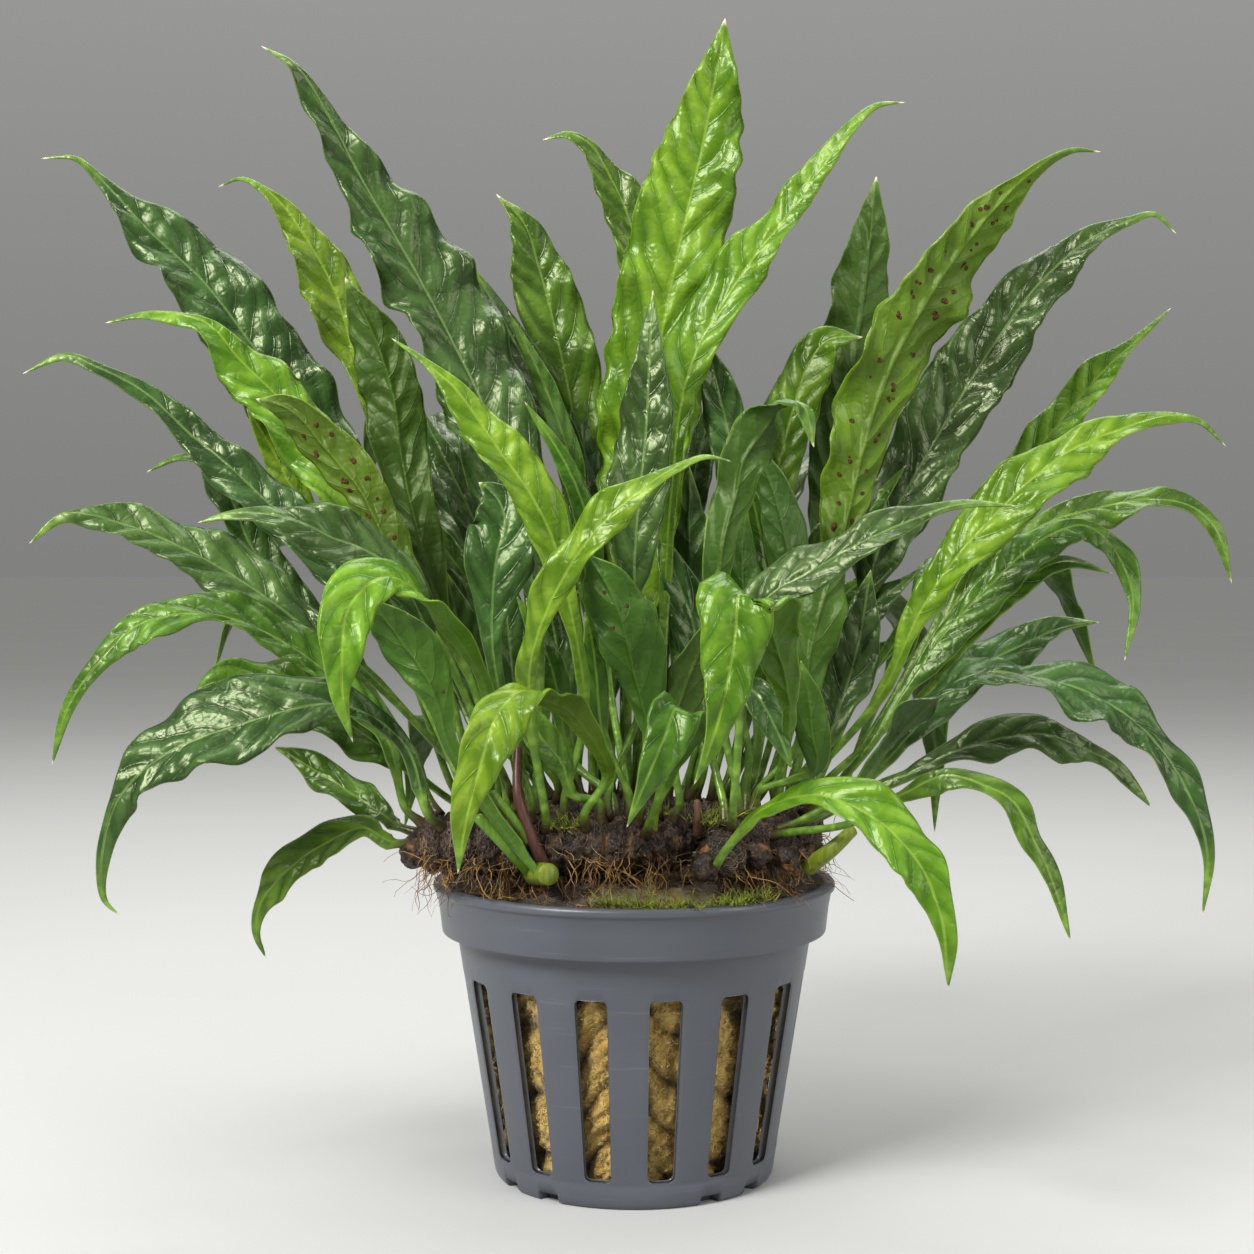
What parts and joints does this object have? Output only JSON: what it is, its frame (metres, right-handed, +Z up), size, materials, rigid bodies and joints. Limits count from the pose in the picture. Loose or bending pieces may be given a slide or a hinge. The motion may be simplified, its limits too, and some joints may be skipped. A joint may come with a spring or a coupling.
{
  "type": "potted java fern",
  "caption": "Java fern with arching green fronds on brown creeping rhizomes, growing from a grey slotted net pot filled with golden mineral wool.",
  "frame": {"origin": "middle of the pot's underside, on the plane that it stands on", "axes": "+Z up, -Y toward the side of the plant that the picture shows, +X to the right in the picture"},
  "size_m": [0.1726, 0.1168, 0.1625],
  "materials": {
    "pot_plastic": "satin grey moulded plastic with faint scratches",
    "medium_wool": "golden fibrous mineral wool, matt",
    "rhizome_bark": "dark brown scaly bark with root hairs",
    "frond_old": "leathery dark green leaf with a satin gloss",
    "frond_mature": "leathery mid green leaf with a satin gloss",
    "frond_young": "leathery bright yellow-green leaf with a satin gloss"
  },
  "bodies": {
    "root": {"pot": "pot_plastic", "growing_medium": "medium_wool", "rhizome_front": "rhizome_bark", "rhizome_right": "rhizome_bark", "rhizome_back": "rhizome_bark", "frond_left_01": "frond_old", "frond_left_02": "frond_young", "frond_left_03": "frond_old", "frond_left_04": "frond_young", "frond_left_05": "frond_old", "frond_left_06": "frond_old", "frond_left_07": "frond_old", "frond_left_08": "frond_old", "frond_left_09": "frond_mature", "frond_left_10": "frond_old", "frond_left_11": "frond_mature", "frond_left_12": "frond_mature", "frond_left_13": "frond_mature", "frond_left_14": "frond_young", "frond_front_01": "frond_young", "frond_front_02": "frond_mature", "frond_front_03": "frond_young", "frond_front_04": "frond_young", "frond_front_05": "frond_old", "frond_front_06": "frond_young", "frond_front_07": "frond_mature", "frond_front_08": "frond_mature", "frond_front_09": "frond_old", "frond_front_10": "frond_mature", "frond_front_11": "frond_young", "frond_front_12": "frond_old", "frond_front_13": "frond_young", "frond_centre_01": "frond_mature", "frond_centre_02": "frond_mature", "frond_centre_03": "frond_young", "frond_centre_04": "frond_young", "frond_centre_05": "frond_mature", "frond_centre_06": "frond_old", "frond_centre_07": "frond_old", "frond_right_01": "frond_mature", "frond_right_02": "frond_young", "frond_right_03": "frond_old", "frond_right_04": "frond_young", "frond_right_05": "frond_young", "frond_right_06": "frond_mature", "frond_right_07": "frond_mature", "frond_right_08": "frond_old", "frond_right_09": "frond_old", "frond_right_10": "frond_old", "frond_right_11": "frond_mature", "frond_right_12": "frond_young", "frond_right_13": "frond_old", "frond_back_01": "frond_mature", "frond_back_02": "frond_old", "frond_back_03": "frond_mature", "frond_back_04": "frond_young", "frond_back_05": "frond_old", "frond_back_06": "frond_mature", "frond_back_07": "frond_mature", "frond_back_08": "frond_mature"}
  },
  "joints": []
}
